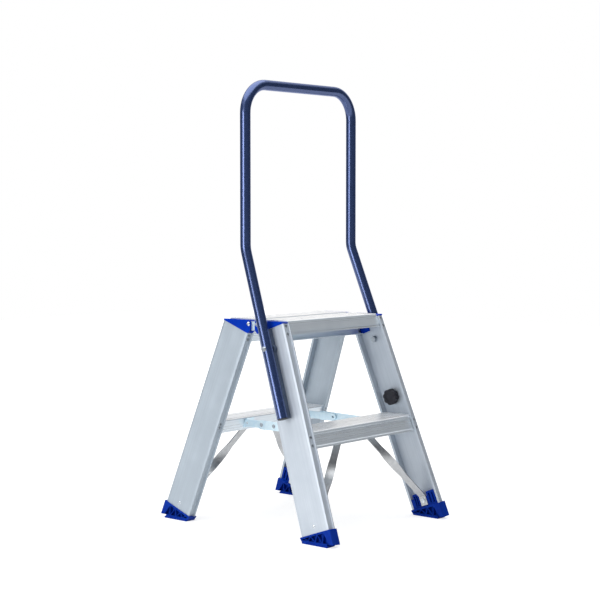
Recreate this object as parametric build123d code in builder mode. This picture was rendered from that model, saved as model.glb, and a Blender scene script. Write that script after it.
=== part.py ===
from build123d import *
from math import copysign, cos, radians, sin, sqrt, tan
import os

os.makedirs("parts", exist_ok=True)

# Overall sizes, in millimetres and degrees
tread_height = 501
step_rise = 250
floor_width = 448
hinge_gap = 32.7
lean = 20
splay = 4.2
bow_height = 1068

# Fits
seat = 0.05
rivet_play = 0.05
pivot_play = 0.08
side_play = 0.3

# Stile: a C-channel with bevelled web edges, grooved flanges and a lip on each free edge
stile_depth = 83
flange_width = 18
wall = 2
bevel_run = 6
bevel_drop = 0.9
lip_width = 2.5
lip_proud = 4
lip_slope = 0.4
groove_depth = 0.6
stile_start = 44
stile_drop = 4.6

# Treads
plate = 3
edge = 1.5
rib_count = 12
rib_gap = 2.4
rib_flank = 0.5
rib_depth = 0.9
recess = 1.5
top_nose = 25
top_front = 32.5
lower_nose = 6
lower_face = 33
lower_front = 37.5
lower_back = 31
lip = 9
brace_rib = 29

# Blind rivets through the flanges into the tread ends
rivet_radius = 2.4
rivet_head = 4.1
rivet_flank = 1.4
rivet_height = 1.2
rivet_tail = 3.2
tail_height = 2.5
mandrel_radius = 1.3
mandrel_depth = 2
rivet_edge = 5.8
outer_rivets = (10.5, 30.5)
hinge_rivets = (8.5, 17.5)

# Feet
foot_proud = 2
foot_cover = 0.6
foot_width = 25
foot_toe = 13
toe_rise = 8
heel_inset = 1
floor_cut = 2
sole_height = 4
sole_lip = 1.5
pocket_depth = 9
pocket_start = 5.5
pocket_pitch = 10
pocket_count = 7
pocket_border = 3.5
pocket_share = 0.86
plug_height = 24
tab_height = 35
outer_tab_inset = 3
outer_tab_gap = 13
hinge_tab_gap = 14.5
hinge_tab_inset = 10.5
slot_places = (0.3, 0.7)
slot_share = 0.22
slot_depth = 5
slot_border = 5

# Braces
brace_width = 20
brace_thick = 2.5
brace_start = 3
brace_bend = 27
brace_top_x = 36
brace_drop = 15
twist_length = 90
flat_end = 85
twist_steps = 8
brace_rivet = 12
foot_rivet = 15
foot_rivet_tail = 5.5

# Caps and hinge
cap_proud = 1.5
cap_drop = 1.6
cap_tip = 0.3
cap_gap = 14.4
cap_waist = 25
cap_round = 7
tongue_thick = 3
tongue_length = 26
tongue_width = 28
tongue_inset = 5
hinge_span = 27.2
hinge_drop = 11
hinge_pin = 3
hinge_head = 5
hinge_head_height = 2
hinge_head_crown = 3
link_thick = 4
link_q = 4.2
link_length = 43
link_height = 21
link_sag = 4.5
link_round = 7
slot_radius = 18

# Hand bow
tube_radius = 12.5
tube_wall = 1.5
bow_offset = 2.5
bow_gap = 10
bow_tail = 15
bend_rise = 168
bend_radius = 60
corner_radius = 69
bolt_drop = 54.2
knob_rise = 60.8
plug_depth = 8
plug_cap = 2
plug_round = 1.2
bolt_radius = 4
bolt_head = 6.5
bolt_head_height = 5
bolt_head_crown = 4
strip_width = 14
strip_saddle = 1
strip_gap = 2
boss_radius = 11
washer_radius = 8
washer_thick = 1.6
nut_width = 13
nut_height = 6.5
insert_radius = 5.5
insert_depth = 14
knob_radius = 20
knob_lobes = 8
scallop_radius = 9
scallop_depth = 1.8
knob_hub = 12
knob_hub_height = 4
knob_height = 18
knob_dish = 11
knob_dish_depth = 1
knob_edge = 1.5
stud_depth = 10

# Folding spreaders
link_x = 112
pivot_drop = 12
pivot_offset = 11
arm_thick = 3
arm_gap = 0.6
arm_end = 9
tail_end = 11.5
arm_tail = 40
ear_thick = 2.8
ear_radius = 7
ear_low = 13
bracket_base = 26
bracket_thick = 2.5
bracket_rivets = (9, 20)
arm_rivet = 3
arm_rivet_head = 5
arm_rivet_height = 1.8

sides = (-1, 1)
sections = (-1, 1)
side_names = {-1: "left", 1: "right"}
section_names = {-1: "front", 1: "rear"}
down = (Align.CENTER, Align.CENTER, Align.MAX)
up = (Align.CENTER, Align.CENTER, Align.MIN)


# Directions of a stile; side is -1 for left, section is -1 for front
def rise(side, section):
    return Vector(-side * tan(radians(splay)), -section * tan(radians(lean)), 1).normalized()


def outward(side, section):
    level = Vector(0, section, 0)
    along = rise(side, section)
    return (level - along * level.dot(along)).normalized()


def inward(side, section):
    return rise(side, section).cross(outward(side, section)) * (side * section)


# A point p behind the stile's outer edge, q inside its web face and t up along it from the floor corner
def at(side, section, p, q, t):
    corner = Vector(side * floor_width / 2, section * floor_y, 0)
    return (
        corner
        - outward(side, section) * p
        + inward(side, section) * q
        + rise(side, section) * t
    )


# The t of a point p, q that lies at height z
def t_at(z, p, q):
    return (z + outward(1, 1).Z * p - inward(1, 1).Z * q) / rise(1, 1).Z


# The y at height z of a plane along the treads that meets the stile at p, q
def wall_y(section, p, q, z):
    base = at(-1, section, p, q, 0)
    return base.Y - section * tan(radians(lean)) * (z - base.Z)


# The p of a point of the rear web faces at y, z
def p_at(y, z):
    outer, hinge = (wall_y(1, p, 0, z) for p in (0, stile_depth))
    return stile_depth * (outer - y) / (outer - hinge)


# Square across a stile: sketch x is minus p, sketch y is q, mirrored with the stile's hand
def cross_plane(side, section, t):
    return Plane(
        origin=at(side, section, 0, 0, t),
        x_dir=outward(side, section),
        z_dir=rise(side, section),
    )


# Parallel to a stile's web, facing inward: sketch x is p, sketch y is t, mirrored with the stile's hand
def web_plane(side, section, q):
    return Plane(
        origin=at(side, section, 0, q, 0),
        x_dir=outward(side, section) * -1,
        z_dir=inward(side, section),
    )


def cross_box(side, section, p_range, q_range):
    hand = side * section
    low_q, high_q = q_range
    low_p, high_p = p_range
    corners = [(low_p, low_q), (high_p, low_q), (high_p, high_q), (low_p, high_q)]
    return [(-p, hand * q) for p, q in corners]


stile_top = t_at(tread_height - stile_drop, 0, 0)
floor_y = hinge_gap / 2 + outward(1, 1).Y * stile_depth - rise(1, 1).Y * stile_top
lower_height = tread_height - step_rise
rivet_q = flange_width / 2
groove_start = rivet_q - rivet_head - rivet_play - groove_depth
groove_end = rivet_q + rivet_head + rivet_play + groove_depth
brace_p = stile_depth / 2
bow_p = stile_depth / 2 + bow_offset
bolt_t = t_at(tread_height, 0, 0) - bolt_drop
knob_t = t_at(lower_height, 0, 0) + knob_rise
bow_end = knob_t - bow_tail
bow_bend = tread_height + bend_rise
foot_heel = stile_depth - heel_inset
foot_reach = lip_proud + foot_cover
outer_tab = (outer_tab_inset, brace_p - outer_tab_gap)
hinge_tab = (brace_p + hinge_tab_gap, stile_depth - hinge_tab_inset)
tongue_p = (stile_depth - tongue_inset - tongue_width, stile_depth - tongue_inset)
hinge_y = hinge_span / 2
hinge_z = tread_height - hinge_drop
bow_q = -bow_gap - tube_radius
brace_q = flange_width + seat + brace_thick / 2
insert_q = bow_q + sqrt(tube_radius ** 2 - insert_radius ** 2) - seat
pivot_z = lower_height - pivot_drop
hinge_wall = stile_depth - wall - seat
face_depth = wall + seat + recess
outer_grip = face_depth + wall - groove_depth + side_play
hinge_grip = stile_depth - groove_depth - hinge_wall + wall + side_play
top_back_z = at(1, 1, stile_depth, 0, stile_top - hinge_rivets[-1]).Z - rivet_edge
strip_height = bow_gap + strip_saddle
strip_length = stile_top - strip_gap - bow_end
scallop_reach = knob_radius + scallop_radius - scallop_depth


# Where the flange rivets stand: on the outer flange and on the hinge flange, looking out of the flange
def outer_rivet_planes(side, section, height):
    first = t_at(height, 0, 0)
    return [
        Plane(
            origin=at(side, section, groove_depth, rivet_q, first - drop),
            z_dir=outward(side, section),
        )
        for drop in outer_rivets
    ]


def hinge_rivet_planes(side, section, height):
    first = min(stile_top, t_at(height, stile_depth, 0))
    return [
        Plane(
            origin=at(side, section, stile_depth - groove_depth, rivet_q, first - drop),
            z_dir=outward(side, section) * -1,
        )
        for drop in hinge_rivets
    ]


def flange_rivet_planes(side, section, height):
    return outer_rivet_planes(side, section, height) + hinge_rivet_planes(side, section, height)


# A plane square to a stile's web at p, t, looking out of the web
def web_axis(side, section, p, q, t):
    return Plane(origin=at(side, section, p, q, t), z_dir=inward(side, section) * -1)


def foot_rivet_plane(side, section):
    return web_axis(side, section, brace_p, 0, stile_start + foot_rivet)


# Blind rivets: head on the plane, shank and tail behind it
def rivets(planes, grip, tail=rivet_tail):
    with Locations(*planes):
        Cone(rivet_head, rivet_head - rivet_flank, rivet_height, align=up)
        Cylinder(rivet_radius, grip, align=down)
    with Locations(*[plane.offset(-grip) for plane in planes]):
        Cylinder(tail, tail_height, align=down)
    with Locations(*[plane.offset(rivet_height) for plane in planes]):
        Cylinder(mandrel_radius, mandrel_depth, align=down, mode=Mode.SUBTRACT)


def drill(planes, radius, depth):
    with Locations(*planes):
        Cylinder(radius, depth, mode=Mode.SUBTRACT)


def rivet_holes(planes, depth):
    drill(planes, rivet_radius + rivet_play, depth)


def tread_end_holes(side, section, height):
    rivet_holes(outer_rivet_planes(side, section, height), 2 * (outer_grip + side_play))
    rivet_holes(hinge_rivet_planes(side, section, height), 2 * (hinge_grip + side_play))


def save(piece, label):
    piece.part.label = label
    export_step(piece.part, f"parts/{label}.step")


# Stiles
def flange_points(edge_p, sign):
    return [
        (edge_p - sign * lip_proud, flange_width),
        (edge_p - sign * lip_proud, flange_width - lip_width),
        (edge_p, flange_width - lip_width - lip_slope),
        (edge_p, groove_end),
        (edge_p + sign * groove_depth, groove_end - groove_depth),
        (edge_p + sign * groove_depth, groove_start + groove_depth),
        (edge_p, groove_start),
        (edge_p, bevel_drop),
        (edge_p + sign * bevel_run, 0),
    ]


def stile(side, section):
    hand = side * section
    inside = [
        (stile_depth - wall, flange_width),
        (stile_depth - wall, wall),
        (wall, wall),
        (wall, flange_width),
    ]
    profile = flange_points(0, 1) + flange_points(stile_depth, -1)[::-1] + inside
    with BuildPart() as channel:
        with BuildSketch(cross_plane(side, section, stile_start)):
            Polygon(*[(-p, hand * q) for p, q in profile], align=None)
        extrude(amount=stile_top - stile_start)
        for height in (tread_height, lower_height):
            rivet_holes(flange_rivet_planes(side, section, height), 3 * wall)
        rivet_holes([foot_rivet_plane(side, section)], 3 * wall)
        if section == -1:
            bow_holes = [web_axis(side, section, bow_p, 0, t) for t in (bolt_t, knob_t)]
            drill(bow_holes, bolt_radius + pivot_play, 3 * wall)
    return channel


# Treads
def ribbed_top(y_from, y_to, top):
    step = (y_to - y_from) / rib_count
    way = copysign(1, step)
    points = []
    for k in range(rib_count):
        middle = y_from + (k + 0.5) * step
        for reach, depth in ((-rib_gap / 2, 0), (rib_flank - rib_gap / 2, rib_depth)):
            points.append((middle + way * reach, top - depth))
        for reach, depth in ((rib_gap / 2 - rib_flank, rib_depth), (rib_gap / 2, 0)):
            points.append((middle + way * reach, top - depth))
    return points


def tread_crown(section, top):
    y_hinge = wall_y(section, hinge_wall, wall, top) + section * edge
    y_outer = wall_y(section, wall + seat, flange_width, top) - section * edge
    return (
        [(wall_y(section, hinge_wall, wall, top - edge), top - edge), (y_hinge, top)]
        + ribbed_top(y_hinge, y_outer, top)
        + [(y_outer, top), (wall_y(section, wall + seat, flange_width, top - edge), top - edge)]
    )


def front_wall(section, p, z):
    return (wall_y(section, p, flange_width, z), z)


def back_wall(section, p, z):
    return (wall_y(section, p, wall, z), z)


def cut_ends(section, end_q):
    for side in sides:
        end = Plane(origin=at(side, section, 0, end_q, 0), z_dir=inward(side, section))
        split(bisect_by=end, keep=Keep.TOP)


def top_tread(section):
    top = tread_height
    back_edge = wall_y(section, hinge_wall, wall, top_back_z) + section * lip
    body = tread_crown(section, top) + [
        front_wall(section, wall + seat, top - top_nose),
        front_wall(section, face_depth, top - top_nose),
        front_wall(section, face_depth, top - top_front),
        front_wall(section, face_depth + wall, top - top_front),
        front_wall(section, face_depth + wall, top - plate),
        back_wall(section, hinge_wall - wall, top - plate),
        back_wall(section, hinge_wall - wall, top_back_z + wall),
        (back_edge, top_back_z + wall),
        (back_edge, top_back_z),
        back_wall(section, hinge_wall, top_back_z),
    ]
    with BuildPart() as tread:
        with BuildSketch(Plane.YZ):
            Polygon(*body, align=None)
        extrude(amount=floor_width / 2, both=True)
        cut_ends(section, wall + tongue_thick + side_play)
        for side in sides:
            with BuildSketch(cross_plane(side, section, stile_top - seat)):
                p_range = (-flange_width, 2 * stile_depth)
                q_range = (-flange_width, flange_width + side_play)
                Polygon(*cross_box(side, section, p_range, q_range), align=None)
            extrude(amount=stile_depth, mode=Mode.SUBTRACT)
            tread_end_holes(side, section, top)
    return tread


def lower_tread(section):
    top = lower_height
    lip_z = top - lower_front
    back_z = top - lower_back
    rib_p = brace_p + brace_thick / 2 + seat
    lip_edge = wall_y(section, wall + seat, flange_width, lip_z) - section * lip
    back_edge = wall_y(section, hinge_wall, wall, back_z) + section * lip
    rib_faces = [
        [(wall_y(section, p, brace_q, z), z) for z in (top - plate, top - brace_rib)]
        for p in (rib_p, rib_p + plate)
    ]
    body = tread_crown(section, top) + [
        front_wall(section, wall + seat, top - lower_nose),
        front_wall(section, face_depth, top - lower_nose - recess),
        front_wall(section, face_depth, top - lower_face + recess),
        front_wall(section, wall + seat, top - lower_face),
        front_wall(section, wall + seat, lip_z),
        (lip_edge, lip_z),
        (lip_edge, lip_z + wall),
        front_wall(section, face_depth + wall, lip_z + wall),
        front_wall(section, face_depth + wall, top - plate),
        rib_faces[0][0],
        rib_faces[0][1],
        rib_faces[1][1],
        rib_faces[1][0],
        back_wall(section, hinge_wall - wall, top - plate),
        back_wall(section, hinge_wall - wall, back_z + wall),
        (back_edge, back_z + wall),
        (back_edge, back_z),
        back_wall(section, hinge_wall, back_z),
    ]
    with BuildPart() as tread:
        with BuildSketch(Plane.YZ):
            Polygon(*body, align=None)
        extrude(amount=floor_width / 2, both=True)
        cut_ends(section, wall + seat)
        for side in sides:
            tread_end_holes(side, section, top)
            rivet_holes(bracket_rivet_planes(side, section), 3 * wall + 2 * bracket_thick)
            rivet_holes([brace_rivet_plane(side, section)], 4 * plate)
    return tread


# Feet
def foot(side, section):
    hand = side * section
    wedge = [
        (-foot_reach, stile_start),
        (-foot_reach, t_at(toe_rise, -foot_reach, 0)),
        (foot_toe, t_at(toe_rise, foot_toe, 0)),
        (foot_toe, t_at(-floor_cut, foot_toe, 0)),
        (foot_heel, t_at(-floor_cut, foot_heel, 0)),
        (stile_depth + foot_reach, stile_start),
    ]
    floor_corners = [
        (foot_toe, -foot_proud - sole_lip),
        (foot_heel + sole_lip, -foot_proud - sole_lip),
        (foot_heel + sole_lip, foot_width - foot_proud + sole_lip),
        (foot_toe, foot_width - foot_proud + sole_lip),
    ]
    zigzag = []
    for k in range(pocket_count + 2):
        p = pocket_start + k * pocket_pitch
        low = t_at(0, p, 0) + sole_height + pocket_border
        zigzag.append((p, low if k % 2 == 0 else stile_start - pocket_border))
    with BuildPart() as shoe:
        with BuildSketch(web_plane(side, section, -foot_proud)):
            Polygon(*[(p, hand * t) for p, t in wedge], align=None)
        extrude(amount=foot_width)
        split(bisect_by=Plane.XY, keep=Keep.TOP)
        with BuildSketch(Plane.XY):
            corners = [at(side, section, p, q, t_at(0, p, q)) for p, q in floor_corners]
            Polygon(*[(corner.X, corner.Y) for corner in corners], align=None)
        extrude(amount=sole_height)
        for k in range(pocket_count):
            corners = zigzag[k:k + 3]
            middle_p = sum(p for p, t in corners) / 3
            middle_t = sum(t for p, t in corners) / 3
            pocket = [
                (middle_p + (p - middle_p) * pocket_share, hand * (middle_t + (t - middle_t) * pocket_share))
                for p, t in corners
            ]
            for q, way in ((-foot_proud, 1), (foot_width - foot_proud, -1)):
                with BuildSketch(web_plane(side, section, q)):
                    Polygon(*pocket, align=None)
                extrude(amount=way * pocket_depth, mode=Mode.SUBTRACT)
        q_range = (wall + seat, flange_width)
        tabs = (outer_tab, hinge_tab)
        spans = [((wall + seat, hinge_wall), plug_height)] + [(tab, tab_height) for tab in tabs]
        for p_range, height in spans:
            with BuildSketch(cross_plane(side, section, stile_start)):
                Polygon(*cross_box(side, section, p_range, q_range), align=None)
            extrude(amount=height)
        slot_t = stile_start + tab_height / 2
        slots = [(low + (high - low) * place, hand * slot_t) for low, high in tabs for place in slot_places]
        widths = [(high - low) * slot_share for low, high in tabs for place in slot_places]
        with BuildSketch(web_plane(side, section, flange_width)):
            for centre, width in zip(slots, widths):
                with Locations(centre):
                    Rectangle(width, tab_height - 2 * slot_border)
        extrude(amount=-slot_depth, mode=Mode.SUBTRACT)
        rivet_holes([foot_rivet_plane(side, section)], 4 * flange_width)
    return shoe


# Braces
def brace_path(side, section):
    bend = at(side, section, brace_p, brace_q, stile_start + brace_bend)
    z = lower_height - brace_drop
    end = Vector(side * brace_top_x, wall_y(section, brace_p, brace_q, z), z)
    return bend, end, (end - bend).normalized()


def tread_normal(section):
    return Vector(0, section * cos(radians(lean)), sin(radians(lean)))


def brace_rivet_plane(side, section):
    bend, end, slant = brace_path(side, section)
    across = tread_normal(section)
    return Plane(origin=end - slant * brace_rivet + across * (brace_thick / 2), z_dir=across)


def brace(side, section):
    along = rise(side, section)
    across = tread_normal(section)
    bend, end, slant = brace_path(side, section)
    flat = slant.cross(across)
    twist_start = (end - bend).length - flat_end - twist_length
    foot_end = at(side, section, brace_p, brace_q, stile_start + brace_start)
    stations = [
        (foot_end, along, outward(side, section)),
        (bend, (along + slant).normalized(), outward(side, section)),
    ]
    for k in range(twist_steps + 1):
        turn = radians(90 * k / twist_steps)
        centre = bend + slant * (twist_start + twist_length * k / twist_steps)
        stations.append((centre, slant, across * cos(turn) + flat * sin(turn)))
    stations.append((end, slant, flat))
    with BuildPart() as bar:
        for centre, way, width in stations:
            with BuildSketch(Plane(origin=centre, x_dir=width, z_dir=way)):
                Rectangle(brace_width, brace_thick)
        loft(ruled=True)
        rivet_holes([foot_rivet_plane(side, section)], 4 * flange_width)
        rivet_holes([brace_rivet_plane(side, section)], 4 * plate)
    return bar


# Caps
def pin_plane(side, section, x):
    return Plane(origin=(side * x, section * hinge_y, hinge_z), z_dir=(side, 0, 0))


link_centre_x = abs(at(1, 1, 0, link_q, t_at(hinge_z, 0, link_q)).X)
pin_head_z = hinge_z - hinge_head
pin_head_x = at(1, 1, 0, -cap_proud, t_at(pin_head_z, 0, -cap_proud)).X + seat
pin_end_x = at(1, 1, 0, flange_width, t_at(hinge_z + hinge_pin, 0, flange_width)).X + side_play


def cap(side, section):
    hand = side * section
    cap_z = tread_height - cap_drop
    waist_z = tread_height - cap_waist
    corner_p, waist_p = (p_at(cap_gap / 2, z) for z in (cap_z, waist_z))
    corner = (corner_p, hand * t_at(cap_z, corner_p, 0))
    wedge = [
        (-cap_tip, hand * stile_top),
        (-cap_tip, hand * t_at(cap_z, -cap_tip, 0)),
        corner,
        (waist_p, hand * t_at(waist_z, waist_p, 0)),
        (stile_depth + cap_tip, hand * stile_top),
    ]
    tongue = [(p, hand * t) for p, t in (
        (tongue_p[0], stile_top),
        (tongue_p[1], stile_top),
        (tongue_p[1], stile_top - tongue_length),
        (tongue_p[0], stile_top - tongue_length),
    )]
    with BuildPart() as head:
        with BuildSketch(web_plane(side, section, -cap_proud)) as side_face:
            Polygon(*wedge, align=None)
            fillet(side_face.vertices().sort_by_distance((*corner, 0))[0], cap_round)
        extrude(amount=cap_proud + flange_width)
        with BuildSketch(web_plane(side, section, wall + seat)):
            Polygon(*tongue, align=None)
        extrude(amount=tongue_thick)
        with Locations(pin_plane(side, section, link_centre_x)):
            Cylinder(slot_radius, link_thick + 2 * side_play, mode=Mode.SUBTRACT)
            Cylinder(hinge_pin + rivet_play, floor_width / 4, mode=Mode.SUBTRACT)
    return head


def hinge_pins(section):
    with BuildPart() as pins:
        with Locations(*[pin_plane(side, section, pin_head_x) for side in sides]):
            Cylinder(hinge_pin, pin_head_x - pin_end_x, align=down)
            Cone(hinge_head, hinge_head_crown, hinge_head_height, align=up)
    return pins


def hinge_link(side):
    with BuildPart() as link:
        with BuildSketch(Plane.YZ.offset(side * link_centre_x)):
            with Locations((0, hinge_z - link_sag)):
                RectangleRounded(link_length, link_height, link_round)
            with Locations(*[(section * hinge_y, hinge_z) for section in sections]):
                Circle(hinge_pin + pivot_play, mode=Mode.SUBTRACT)
        extrude(amount=link_thick / 2, both=True)
    return link


# Hand bow
def bow_axis(side, q, t):
    return web_axis(side, -1, bow_p, q, t)


def hand_bow():
    legs = []
    for side in sides:
        legs.append([
            at(side, -1, bow_p, bow_q, bow_end),
            at(side, -1, bow_p, bow_q, t_at(bow_bend, bow_p, bow_q)),
        ])
    corners = [Vector(leg[1].X, leg[1].Y, bow_height - tube_radius) for leg in legs]
    with BuildPart() as tube:
        with BuildLine():
            FilletPolyline(
                legs[0][0], legs[0][1], corners[0], corners[1], legs[1][1], legs[1][0],
                radius=[bend_radius, corner_radius, corner_radius, bend_radius],
            )
        with BuildSketch(Plane(origin=legs[0][0], z_dir=rise(-1, -1))):
            Circle(tube_radius)
            Circle(tube_radius - tube_wall, mode=Mode.SUBTRACT)
        sweep()
        for side in sides:
            drill([bow_axis(side, bow_q, bolt_t)], bolt_radius + pivot_play, 3 * tube_radius)
            with Locations(bow_axis(side, bow_q, knob_t)):
                Cylinder(insert_radius + rivet_play, 2 * tube_radius, align=down, mode=Mode.SUBTRACT)
    return tube


def end_plugs():
    with BuildPart() as plugs:
        for side in sides:
            end = Plane(origin=at(side, -1, bow_p, bow_q, bow_end), z_dir=rise(side, -1))
            with Locations(end.offset(-seat)):
                Cone(tube_radius - plug_round, tube_radius, plug_cap, align=down)
                Cylinder(tube_radius - tube_wall - pivot_play, plug_depth, align=up)
    return plugs


# Spacer strips between the bow's legs and the webs, with a boss round the bolt and a saddle for the tube
def spacers():
    p_range = (bow_p - strip_width / 2, bow_p + strip_width / 2)
    q_range = (-strip_height, -seat)
    with BuildPart() as strips:
        for side in sides:
            with BuildSketch(cross_plane(side, -1, bow_end)):
                Polygon(*cross_box(side, -1, p_range, q_range), align=None)
            extrude(amount=strip_length)
            with Locations(bow_axis(side, -seat, bolt_t)):
                Cylinder(boss_radius, strip_height - seat, align=up)
            with Locations(Plane(origin=at(side, -1, bow_p, bow_q, bow_end), z_dir=rise(side, -1))):
                Cylinder(tube_radius + seat, 2 * strip_length + 2 * strip_gap, mode=Mode.SUBTRACT)
            bow_holes = [bow_axis(side, 0, t) for t in (bolt_t, knob_t)]
            drill(bow_holes, bolt_radius + pivot_play, 2 * strip_height + bow_gap)
    return strips


def bow_bolts():
    face = -bow_q + tube_radius + seat
    length = face + wall + washer_thick + nut_height + 2 * seat
    with BuildPart() as bolts:
        with Locations(*[bow_axis(side, -face, bolt_t) for side in sides]):
            Cylinder(bolt_radius, length, align=down)
            Cone(bolt_head, bolt_head_crown, bolt_head_height, align=up)
    return bolts


def bow_washers():
    with BuildPart() as washers:
        with Locations(*[bow_axis(side, wall + seat, bolt_t) for side in sides]):
            Cylinder(washer_radius, washer_thick, align=down)
            Cylinder(bolt_radius + pivot_play, 2 * washer_thick, align=down, mode=Mode.SUBTRACT)
    return washers


def bow_nuts():
    with BuildPart() as nuts:
        for side in sides:
            with BuildSketch(bow_axis(side, wall + washer_thick + 2 * seat, bolt_t)):
                RegularPolygon(nut_width / 2, 6, major_radius=False)
                Circle(bolt_radius + rivet_play, mode=Mode.SUBTRACT)
            extrude(amount=-nut_height)
    return nuts


def bow_inserts():
    with BuildPart() as inserts:
        with Locations(*[bow_axis(side, insert_q, knob_t) for side in sides]):
            Cylinder(insert_radius, insert_depth, align=up)
            Cylinder(bolt_radius + pivot_play, insert_depth, align=up, mode=Mode.SUBTRACT)
    return inserts


def knob(side):
    hub_q = wall + side_play
    with BuildPart() as star:
        with BuildSketch(web_plane(side, -1, hub_q)):
            with Locations((bow_p, -side * knob_t)):
                Circle(knob_hub)
        extrude(amount=knob_hub_height)
        with BuildSketch(web_plane(side, -1, hub_q + knob_hub_height)):
            with Locations((bow_p, -side * knob_t)):
                Circle(knob_radius)
                with PolarLocations(scallop_reach, knob_lobes):
                    Circle(scallop_radius, mode=Mode.SUBTRACT)
        extrude(amount=knob_height - knob_hub_height)
        face = star.faces().sort_by(Axis(at(side, -1, 0, 0, 0), inward(side, -1)))[-1]
        chamfer(face.edges(), knob_edge)
        with BuildSketch(web_plane(side, -1, hub_q + knob_height)):
            with Locations((bow_p, -side * knob_t)):
                Circle(knob_dish)
        extrude(amount=-knob_dish_depth, mode=Mode.SUBTRACT)
        with Locations(bow_axis(side, hub_q, knob_t)):
            Cylinder(bolt_radius + rivet_play, stud_depth, align=down, mode=Mode.SUBTRACT)
    return star


def knob_stud(side):
    with BuildPart() as stud:
        with Locations(bow_axis(side, wall + side_play + stud_depth, knob_t)):
            length = wall + side_play + stud_depth - insert_q + insert_depth
            Cylinder(bolt_radius, length, align=up)
    return stud


# Folding spreaders
def pivot_y(section):
    return wall_y(section, hinge_wall, wall, pivot_z) - section * pivot_offset / cos(radians(lean))


# Arms of one spreader lie side by side, the front arm on the outer side; shift counts from their middle
def spread_plane(side, section, shift):
    return Plane.YZ.offset(side * (link_x - section * shift))


def bracket_rivet_planes(side, section):
    ear = arm_gap / 2 + arm_thick + side_play + ear_thick
    y = wall_y(section, hinge_wall + bracket_thick, wall, pivot_z)
    return [
        Plane(
            origin=(side * (link_x - section * (ear + reach)), y, pivot_z),
            z_dir=tread_normal(section) * -1,
        )
        for reach in bracket_rivets
    ]


def bracket(side, section):
    ear = arm_gap / 2 + arm_thick + side_play
    way = -side * section
    high = lower_height - edge
    low = pivot_z - ear_low
    foot_line = [(wall_y(section, hinge_wall + seat, wall, z), z) for z in (high, low)]
    base_line = [(wall_y(section, hinge_wall + bracket_thick, wall, z), z) for z in (low, high)]
    with BuildPart() as angle:
        with BuildSketch(spread_plane(side, section, ear)):
            Polygon(*foot_line, *base_line, align=None)
            with Locations((pivot_y(section), pivot_z)):
                Circle(ear_radius)
            make_hull()
            with Locations((pivot_y(section), pivot_z)):
                Circle(arm_rivet + rivet_play, mode=Mode.SUBTRACT)
        extrude(amount=way * ear_thick)
        with BuildSketch(spread_plane(side, section, ear)):
            Polygon(*foot_line, *base_line, align=None)
        extrude(amount=way * (ear_thick + bracket_base))
        rivet_holes(bracket_rivet_planes(side, section), 4 * bracket_thick)
    return angle


def arm(side, section):
    way = -side * section
    far_y = arm_tail if section == -1 else 0
    far_radius = tail_end if section == -1 else arm_end
    holes = [(pivot_y(section), arm_rivet + pivot_play), (0, arm_rivet + rivet_play)]
    if section == -1:
        holes.append((arm_tail, arm_rivet + rivet_play))
    with BuildPart() as link:
        with BuildSketch(spread_plane(side, section, arm_gap / 2)):
            with Locations((pivot_y(section), pivot_z)):
                Circle(arm_end)
            with Locations((far_y, pivot_z)):
                Circle(far_radius)
            make_hull()
            for y, radius in holes:
                with Locations((y, pivot_z)):
                    Circle(radius, mode=Mode.SUBTRACT)
        extrude(amount=way * arm_thick)
    return link


# Pivot rivets: head outside the ear, shank through ear and arm, flush with the arm's inner face
def pivot_rivets(section):
    inner = arm_gap / 2
    outer = inner + arm_thick + side_play + ear_thick + seat
    with BuildPart() as pivots:
        for side in sides:
            x = side * (link_x - section * outer)
            head = Plane(origin=(x, pivot_y(section), pivot_z), z_dir=(-side * section, 0, 0))
            with Locations(head):
                Cylinder(arm_rivet, outer - inner, align=down)
                Cone(arm_rivet_head, arm_rivet, arm_rivet_height, align=up)
    return pivots


# Elbow and stop rivets of a front arm, flush with its inner face so that the two arms pass each other
def arm_rivets(side):
    outer = arm_gap / 2 + arm_thick + seat
    with BuildPart() as studs:
        for y in (0, arm_tail):
            head = Plane(origin=(side * (link_x + outer), y, pivot_z), z_dir=(side, 0, 0))
            with Locations(head):
                Cylinder(arm_rivet, arm_thick + seat, align=down)
                Cone(arm_rivet_head, arm_rivet, arm_rivet_height, align=up)
    return studs


# Build and write every piece
for section in sections:
    place = section_names[section]
    save(top_tread(section), f"{place}_top_tread")
    save(lower_tread(section), f"{place}_lower_tread")
    for side in sides:
        name = f"{place}_{side_names[side]}"
        save(stile(side, section), f"{name}_stile")
        save(foot(side, section), f"{name}_foot")
        save(cap(side, section), f"{name}_cap")
        save(brace(side, section), f"{name}_brace")
        save(bracket(side, section), f"{name}_bracket")
        save(arm(side, section), f"{name}_arm")
    with BuildPart() as tread_rivets:
        for side in sides:
            for height in (tread_height, lower_height):
                rivets(outer_rivet_planes(side, section, height), outer_grip)
                rivets(hinge_rivet_planes(side, section, height), hinge_grip)
    save(tread_rivets, f"{place}_tread_rivets")
    with BuildPart() as foot_rivets:
        foot_planes = [foot_rivet_plane(side, section) for side in sides]
        rivets(foot_planes, brace_q + brace_thick / 2 + seat, foot_rivet_tail)
    save(foot_rivets, f"{place}_foot_rivets")
    with BuildPart() as brace_rivets:
        rivets([brace_rivet_plane(side, section) for side in sides], brace_thick + plate + 2 * seat)
    save(brace_rivets, f"{place}_brace_rivets")
    with BuildPart() as bracket_fixings:
        for side in sides:
            rivets(bracket_rivet_planes(side, section), bracket_thick + wall + 2 * seat)
    save(bracket_fixings, f"{place}_bracket_rivets")
    save(pivot_rivets(section), f"{place}_pivot_rivets")
    save(hinge_pins(section), f"{place}_hinge_pins")

for side in sides:
    name = side_names[side]
    save(hinge_link(side), f"{name}_hinge_link")
    save(arm_rivets(side), f"{name}_arm_rivets")
    save(knob(side), f"{name}_knob")
    save(knob_stud(side), f"{name}_knob_stud")

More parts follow.
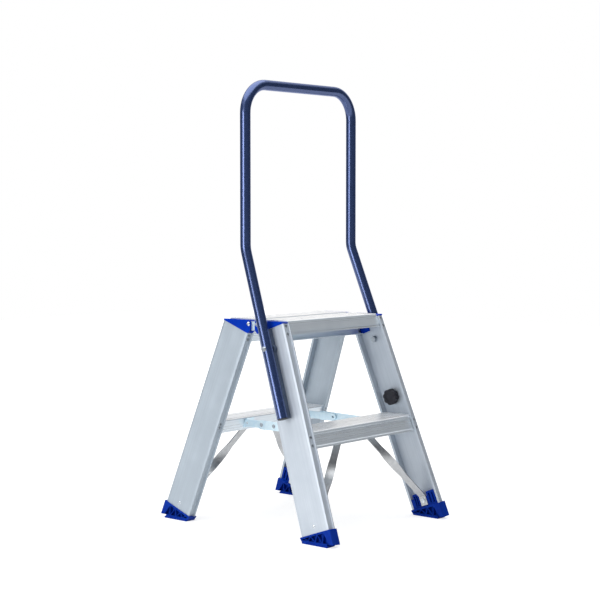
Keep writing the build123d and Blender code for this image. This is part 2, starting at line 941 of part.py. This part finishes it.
save(hand_bow(), "hand_bow")
save(end_plugs(), "bow_end_plugs")
save(spacers(), "bow_spacers")
save(bow_bolts(), "bow_bolts")
save(bow_washers(), "bow_washers")
save(bow_nuts(), "bow_nuts")
save(bow_inserts(), "bow_inserts")
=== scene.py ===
import math

import bpy
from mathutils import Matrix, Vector


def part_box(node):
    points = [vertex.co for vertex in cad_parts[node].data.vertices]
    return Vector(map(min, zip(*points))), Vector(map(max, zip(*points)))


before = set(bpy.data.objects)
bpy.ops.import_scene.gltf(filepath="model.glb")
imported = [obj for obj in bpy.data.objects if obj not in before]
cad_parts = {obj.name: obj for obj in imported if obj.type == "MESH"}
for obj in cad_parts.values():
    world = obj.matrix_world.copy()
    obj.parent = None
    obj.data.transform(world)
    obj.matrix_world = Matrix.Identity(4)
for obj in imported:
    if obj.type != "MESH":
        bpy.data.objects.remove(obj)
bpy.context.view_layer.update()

MM = 0.001
STILE_LEAN = math.radians(20)
STILE_SPLAY = math.radians(4.2)
WHITE = "#FFFFFF"


# Colours are written as sRGB hex; the shaders work in linear light
def linear(hex_colour):
    channels = [int(hex_colour[i:i + 2], 16) / 255 for i in (1, 3, 5)]
    return [c / 12.92 if c <= 0.04045 else ((c + 0.055) / 1.055) ** 2.4 for c in channels] + [1.0]


def add_node(tree, kind, values=None, links=None, **settings):
    node = tree.nodes.new(kind)
    for name, value in settings.items():
        setattr(node, name, value)
    for socket, value in (values or {}).items():
        node.inputs[socket].default_value = value
    for socket, (source, output) in (links or {}).items():
        tree.links.new(source.outputs[output], node.inputs[socket])
    return node


def new_material(name):
    material = bpy.data.materials.new(name)
    material.use_nodes = True
    material.node_tree.nodes.clear()
    return material, material.node_tree


def show(tree, shader, output="BSDF"):
    add_node(tree, "ShaderNodeOutputMaterial", links={"Surface": (shader, output)})


# Noise with blotches about so many millimetres across
def noise(tree, place, size, detail):
    return add_node(
        tree,
        "ShaderNodeTexNoise",
        {"Scale": 1 / (size * MM), "Detail": detail},
        {"Vector": (place, "Object")},
    )


def two_tone(tree, factor, dark, light, low, high):
    ramp = add_node(tree, "ShaderNodeValToRGB", links={"Fac": factor})
    ramp.color_ramp.elements[0].position = low
    ramp.color_ramp.elements[0].color = linear(dark)
    ramp.color_ramp.elements[1].position = high
    ramp.color_ramp.elements[1].color = linear(light)
    return ramp


# Most of a noise lies between these two values
NOISE_LOW = 0.3
NOISE_HIGH = 0.7
GLOSS_SPREAD = 0.05


def uneven_gloss(tree, factor, roughness):
    return add_node(
        tree,
        "ShaderNodeMapRange",
        {
            "From Min": NOISE_LOW,
            "From Max": NOISE_HIGH,
            "To Min": roughness - GLOSS_SPREAD,
            "To Max": roughness + GLOSS_SPREAD,
        },
        {"Value": factor},
    )


RELIEF_DEPTH = 0.1


def relief(tree, height, strength):
    return add_node(
        tree,
        "ShaderNodeBump",
        {"Strength": strength, "Distance": RELIEF_DEPTH * MM},
        {"Height": height},
    )


# Extruded aluminium, mill finish: the die leaves straight lines along the length, which break up a
# satin grey sheen into faint stripes. Real lines are tenths of a millimetre apart; they are drawn
# 3 mm apart to show. On top of the treads the rib tops are painted white: a painted highlight.
DIE_LINE_PITCH = 3.0
DIE_LINE_LENGTH = 900.0
DIE_LINE_RELIEF = 0.12
HANDLING_BLOTCH = 60.0
HIGHLIGHT_DEPTH = 1.2
LINE_TONE_LOW = 0.12
LINE_TONE_HIGH = 0.42
MILL_FINISH_METAL = 0.5


def extruded_aluminium(name, dark, light, roughness, turn, painted_highlight=None, ribs=None):
    material, tree = new_material(name)
    place = add_node(tree, "ShaderNodeTexCoord")
    along = add_node(
        tree,
        "ShaderNodeMapping",
        {"Rotation": turn},
        {"Vector": (place, "Object")},
        vector_type="TEXTURE",
    )
    pitch = 1 / (DIE_LINE_PITCH * MM)
    stretch = 1 / (DIE_LINE_LENGTH * MM)
    stretched = add_node(
        tree, "ShaderNodeMapping", {"Scale": (pitch, pitch, stretch)}, {"Vector": (along, "Vector")}
    )
    lines = add_node(
        tree, "ShaderNodeTexNoise", {"Scale": 1.0, "Detail": 3.0}, {"Vector": (stretched, "Vector")}
    )
    blotches = noise(tree, place, HANDLING_BLOTCH, 2.0)
    blend = add_node(
        tree,
        "ShaderNodeMath",
        links={0: (lines, "Fac"), 1: (blotches, "Fac")},
        operation="MULTIPLY",
    )
    colour = two_tone(tree, (blend, "Value"), dark, light, LINE_TONE_LOW, LINE_TONE_HIGH)
    # The top of the treads is painted a paler tone: a painted highlight for the light from above
    if painted_highlight:
        height = add_node(tree, "ShaderNodeSeparateXYZ", links={"Vector": (place, "Object")})
        highlight_mask = add_node(
            tree,
            "ShaderNodeMapRange",
            {"From Min": ribs - HIGHLIGHT_DEPTH * MM, "From Max": ribs},
            {"Value": (height, "Z")},
        )
        colour = add_node(
            tree,
            "ShaderNodeMixRGB",
            {"Color2": linear(painted_highlight)},
            {"Fac": (highlight_mask, "Result"), "Color1": (colour, "Color")},
        )
    shader = add_node(
        tree,
        "ShaderNodeBsdfPrincipled",
        {"Metallic": MILL_FINISH_METAL},
        {
            "Base Color": (colour, "Color"),
            "Roughness": (uneven_gloss(tree, (lines, "Fac"), roughness), "Result"),
            "Normal": (relief(tree, (lines, "Fac"), DIE_LINE_RELIEF), "Normal"),
        },
    )
    show(tree, shader)
    return material


# Polypropylene, nylon and polyamide, injection moulded: a fine spark-eroded grain softens the
# highlight, and the melt's flow shifts the colour a little. The grain is about 0.2 mm; it is drawn
# at 1.2 mm to show.
MOULD_GRAIN = 1.2
MOULD_GRAIN_RELIEF = 0.2
FLOW_MARK = 25.0
CLOUD_TONE_LOW = 0.35
CLOUD_TONE_HIGH = 0.65


def moulded_plastic(name, dark, light, roughness, ior, gloss):
    material, tree = new_material(name)
    place = add_node(tree, "ShaderNodeTexCoord")
    grain = noise(tree, place, MOULD_GRAIN, 2.0)
    flow = noise(tree, place, FLOW_MARK, 3.0)
    colour = two_tone(tree, (flow, "Fac"), dark, light, CLOUD_TONE_LOW, CLOUD_TONE_HIGH)
    shader = add_node(
        tree,
        "ShaderNodeBsdfPrincipled",
        {"Roughness": roughness, "IOR": ior, "Specular IOR Level": gloss},
        {
            "Base Color": (colour, "Color"),
            "Normal": (relief(tree, (grain, "Fac"), MOULD_GRAIN_RELIEF), "Normal"),
        },
    )
    show(tree, shader)
    return material


# Steel tube, powder coated in metallic navy: a smooth gloss with the slight orange peel of baked
# powder. The flake in the powder tints the highlight blue. Real orange peel ripples every few
# millimetres; it is drawn at 6 mm.
ORANGE_PEEL = 6.0
ORANGE_PEEL_RELIEF = 0.01
FLAKE_METAL = 0.3
COAT_ROUGHNESS = 0.22
COAT_IOR = 1.8
COAT_GLOSS = 1.0


def powder_coat(name, dark, light, tint):
    material, tree = new_material(name)
    place = add_node(tree, "ShaderNodeTexCoord")
    peel = noise(tree, place, ORANGE_PEEL, 1.0)
    colour = two_tone(tree, (peel, "Fac"), dark, light, NOISE_LOW, NOISE_HIGH)
    shader = add_node(
        tree,
        "ShaderNodeBsdfPrincipled",
        {
            "Metallic": FLAKE_METAL,
            "Roughness": COAT_ROUGHNESS,
            "IOR": COAT_IOR,
            "Specular IOR Level": COAT_GLOSS,
            "Specular Tint": linear(tint),
        },
        {
            "Base Color": (colour, "Color"),
            "Normal": (relief(tree, (peel, "Fac"), ORANGE_PEEL_RELIEF), "Normal"),
        },
    )
    show(tree, shader)
    return material


# Steel with a zinc coat, and dull aluminium rivets: a slightly cloudy silver, in patches of about a
# centimetre.
ZINC_CLOUD = 9.0


def zinc_plate(name, dark, light, roughness):
    material, tree = new_material(name)
    place = add_node(tree, "ShaderNodeTexCoord")
    cloud = noise(tree, place, ZINC_CLOUD, 4.0)
    colour = two_tone(tree, (cloud, "Fac"), dark, light, CLOUD_TONE_LOW, CLOUD_TONE_HIGH)
    shader = add_node(
        tree,
        "ShaderNodeBsdfPrincipled",
        {"Metallic": 1.0},
        {
            "Base Color": (colour, "Color"),
            "Roughness": (uneven_gloss(tree, (cloud, "Fac"), roughness), "Result"),
        },
    )
    show(tree, shader)
    return material


TREAD_ROUGHNESS = 0.3
STILE_ROUGHNESS = 0.5
ALONG_TREAD = (0, math.radians(90), 0)

tread_aluminium = {
    level: extruded_aluminium(
        f"extruded aluminium {level} tread",
        "#DCE5ED",
        "#E8F1F7",
        TREAD_ROUGHNESS,
        ALONG_TREAD,
        # white rib tops: a painted highlight for the light from above
        WHITE,
        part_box(f"front_{level}_tread")[1][2],
    )
    for level in ("top", "lower")
}
# The rear stiles get a darker copy of the front stiles' aluminium: painted shade for the rear stiles
stile_aluminium = {
    (place, side): extruded_aluminium(
        f"extruded aluminium {place} {side} stile",
        dark,
        light,
        STILE_ROUGHNESS,
        (lean * STILE_LEAN, splay * STILE_SPLAY, 0),
    )
    for place, lean, dark, light in (
        ("front", -1, "#C0C9D3", "#CCD4DD"),
        ("rear", 1, "#AEB9C3", "#B9C4CE"),
    )
    for side, splay in (("left", 1), ("right", -1))
}

POLYPROPYLENE = {"roughness": 0.5, "ior": 1.49, "gloss": 0.06}
POLYAMIDE_IOR = 1.53
POLYAMIDE_GLOSS = 0.3

blue_polypropylene = moulded_plastic(
    "moulded blue polypropylene", "#0030A6", "#003AB8", **POLYPROPYLENE
)
# The feet get a darker copy of the blue polypropylene: painted shade for the feet low by the floor
shaded_foot_polypropylene = moulded_plastic(
    "moulded blue polypropylene with painted shade", "#082E92", "#0A36A0", **POLYPROPYLENE
)
black_nylon = moulded_plastic(
    "moulded black nylon", "#1C1C24", "#26262E", 0.45, POLYAMIDE_IOR, POLYAMIDE_GLOSS
)
slate_polyamide = moulded_plastic(
    "moulded slate polyamide", "#3E4A60", "#4A586E", 0.5, POLYAMIDE_IOR, POLYAMIDE_GLOSS
)
navy_powder_coat = powder_coat("navy powder coated steel", "#22345A", "#283A62", tint="#B8C8FF")
zinc_steel = zinc_plate("blue passivated zinc steel", "#D0E6F2", "#DCEEF6", roughness=0.4)
galvanised_steel = zinc_plate("galvanised steel strip", "#B4B6B8", "#C4C6C8", roughness=0.45)
bright_zinc = zinc_plate("bright zinc fastener", "#B9C2CA", "#E2E8EC", roughness=0.25)
rivet_aluminium = zinc_plate("dull aluminium blind rivet", "#7E858C", "#9AA1A8", roughness=0.45)
dull_zinc = zinc_plate("dull zinc bolt", "#969EA6", "#B0B8C0", roughness=0.4)

BOW_FASTENERS = ("bow_bolts", "bow_nuts", "bow_washers")


def finish_of(name):
    if name.endswith("_stile"):
        place, side, _ = name.split("_")
        return stile_aluminium[place, side]
    if name.endswith("_tread"):
        _, level, _ = name.split("_")
        return tread_aluminium[level]
    if name.endswith("_cap"):
        return blue_polypropylene
    if name.endswith("_foot"):
        return shaded_foot_polypropylene
    if name == "hand_bow":
        return navy_powder_coat
    if name.endswith("_knob") or name == "bow_end_plugs":
        return black_nylon
    if name == "bow_spacers":
        return slate_polyamide
    if name in BOW_FASTENERS or name.endswith(("_arm_rivets", "_bracket_rivets")):
        return dull_zinc
    if name.endswith("_tread_rivets"):
        return rivet_aluminium
    if name.endswith("_brace"):
        return galvanised_steel
    if name.endswith(("_bracket", "_arm", "_hinge_link")):
        return zinc_steel
    return bright_zinc


for name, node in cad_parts.items():
    node.data.materials.clear()
    node.data.materials.append(finish_of(name))


# Floor: pale, matt and level with the soles. Its glow rises with distance to the room's own white,
# so that its edge, this many metres away, doesn't show.
FLOOR_REACH = 6.0
FLOOR_MATT = "#BCBCBC"
FLOOR_GLOW = 0.66
FLOOR_BOUNCE = 0.2
GLOW_FROM = 0.6
GLOW_TO = 2.4


def pale_floor():
    mesh = bpy.data.meshes.new("pale floor")
    corners = [
        (x * FLOOR_REACH, y * FLOOR_REACH, 0) for x, y in ((-1, -1), (1, -1), (1, 1), (-1, 1))
    ]
    mesh.from_pydata(corners, [], [(0, 1, 2, 3)])
    floor = bpy.data.objects.new("pale floor", mesh)
    bpy.context.collection.objects.link(floor)
    material, tree = new_material("pale matt floor")
    matt = add_node(tree, "ShaderNodeBsdfDiffuse", {"Color": linear(FLOOR_MATT)})
    path = add_node(tree, "ShaderNodeLightPath")
    place = add_node(tree, "ShaderNodeTexCoord")
    distance = add_node(
        tree, "ShaderNodeVectorMath", links={0: (place, "Object")}, operation="LENGTH"
    )
    sweep = add_node(
        tree,
        "ShaderNodeMapRange",
        {"From Min": GLOW_FROM, "From Max": GLOW_TO, "To Min": FLOOR_GLOW, "To Max": 1.0},
        {"Value": (distance, "Value")},
    )
    shine = add_node(
        tree,
        "ShaderNodeMapRange",
        {"To Max": FLOOR_BOUNCE},
        {"Value": (path, "Is Diffuse Ray"), "To Min": (sweep, "Result")},
    )
    glow = add_node(
        tree, "ShaderNodeEmission", {"Color": linear(WHITE)}, {"Strength": (shine, "Result")}
    )
    both = add_node(tree, "ShaderNodeAddShader", links={0: (matt, "BSDF"), 1: (glow, "Emission")})
    show(tree, both, "Shader")
    mesh.materials.append(material)


# World: white to the camera and in reflections, softer as light
ROOM_LIGHT = 0.56
ROOM_SEEN = 1.0


def white_room():
    world = bpy.data.worlds.new("white room")
    bpy.context.scene.world = world
    world.use_nodes = True
    tree = world.node_tree
    tree.nodes.clear()
    path = add_node(tree, "ShaderNodeLightPath")
    seen = add_node(
        tree,
        "ShaderNodeMath",
        links={0: (path, "Is Camera Ray"), 1: (path, "Is Glossy Ray")},
        operation="MAXIMUM",
    )
    shown = add_node(
        tree,
        "ShaderNodeMath",
        links={0: (seen, "Value"), 1: (path, "Is Transmission Ray")},
        operation="MAXIMUM",
    )
    light, backdrop = (
        add_node(tree, "ShaderNodeBackground", {"Color": linear(WHITE), "Strength": strength})
        for strength in (ROOM_LIGHT, ROOM_SEEN)
    )
    mix = add_node(
        tree,
        "ShaderNodeMixShader",
        links={"Fac": (shown, "Value"), 1: (light, "Background"), 2: (backdrop, "Background")},
    )
    add_node(tree, "ShaderNodeOutputWorld", links={"Surface": (mix, "Shader")})


# Lamps: rectangular softboxes, sizes in metres and power in watts
def soft_lamp(name, place, target, width, height, power):
    data = bpy.data.lights.new(name, "AREA")
    data.shape = "RECTANGLE"
    data.size = width
    data.size_y = height
    data.energy = power
    lamp = bpy.data.objects.new(name, data)
    lamp.location = place
    lamp.rotation_euler = (Vector(target) - Vector(place)).to_track_quat("-Z", "Y").to_euler()
    bpy.context.collection.objects.link(lamp)


# Cloth screens round the stage, which the camera doesn't see: they keep the front faces and the tube
# dark, as in a studio. Angles in degrees from the front, sizes in metres.
SCREEN_RADIUS = 4.4
SCREEN_STEPS = 8
SCREEN_FOOT = 0.02


def cloth_screen(name, first, last, tall, colour):
    mesh = bpy.data.meshes.new(name)
    corners = []
    for k in range(SCREEN_STEPS + 1):
        turn = math.radians(first + (last - first) * k / SCREEN_STEPS)
        x, y = SCREEN_RADIUS * math.sin(turn), -SCREEN_RADIUS * math.cos(turn)
        corners += [(x, y, SCREEN_FOOT), (x, y, tall)]
    faces = [(2 * k, 2 * k + 2, 2 * k + 3, 2 * k + 1) for k in range(SCREEN_STEPS)]
    mesh.from_pydata(corners, [], faces)
    screen = bpy.data.objects.new(name, mesh)
    bpy.context.collection.objects.link(screen)
    material, tree = new_material(f"{name} cloth")
    cloth = add_node(tree, "ShaderNodeBsdfDiffuse", {"Color": linear(colour)})
    show(tree, cloth)
    mesh.materials.append(material)
    screen.visible_camera = False


pale_floor()
white_room()
cloth_screen("back screen", first=-200, last=-105, tall=3.0, colour="#68686C")
cloth_screen("left screen", first=-75, last=10, tall=4.6, colour="#78787C")
cloth_screen("right screen", first=10, last=85, tall=4.6, colour="#68686C")
# The left softbox draws the line of light along the bow; its width is the line's width
soft_lamp(
    "left softbox", (-3.0, 0.15, 0.85), target=(0, 0, 0.6), width=1.4, height=1.2, power=34
)
soft_lamp(
    "overhead softbox", (-0.3, 0.2, 3.2), target=(0, 0, 0), width=4.0, height=4.0, power=112
)

# Camera: the photograph's view
VIEW_TURN = math.radians(-49.21)
VIEW_RISE = math.radians(3.31)
VIEW_DISTANCE = 3598.09 * MM
VIEW_TARGET = Vector((-52.64, -29.88, 542.41)) * MM
VIEW_LENS = 89.4
VIEW_SENSOR = 36

back = Vector((
    math.sin(VIEW_TURN) * math.cos(VIEW_RISE),
    -math.cos(VIEW_TURN) * math.cos(VIEW_RISE),
    math.sin(VIEW_RISE),
))
camera_data = bpy.data.cameras.new("photograph view")
camera_data.lens = VIEW_LENS
camera_data.sensor_width = VIEW_SENSOR
camera = bpy.data.objects.new("photograph view", camera_data)
camera.location = VIEW_TARGET + back * VIEW_DISTANCE
camera.rotation_euler = (-back).to_track_quat("-Z", "Y").to_euler()
bpy.context.collection.objects.link(camera)
bpy.context.scene.camera = camera
bpy.context.scene.view_settings.view_transform = "Standard"
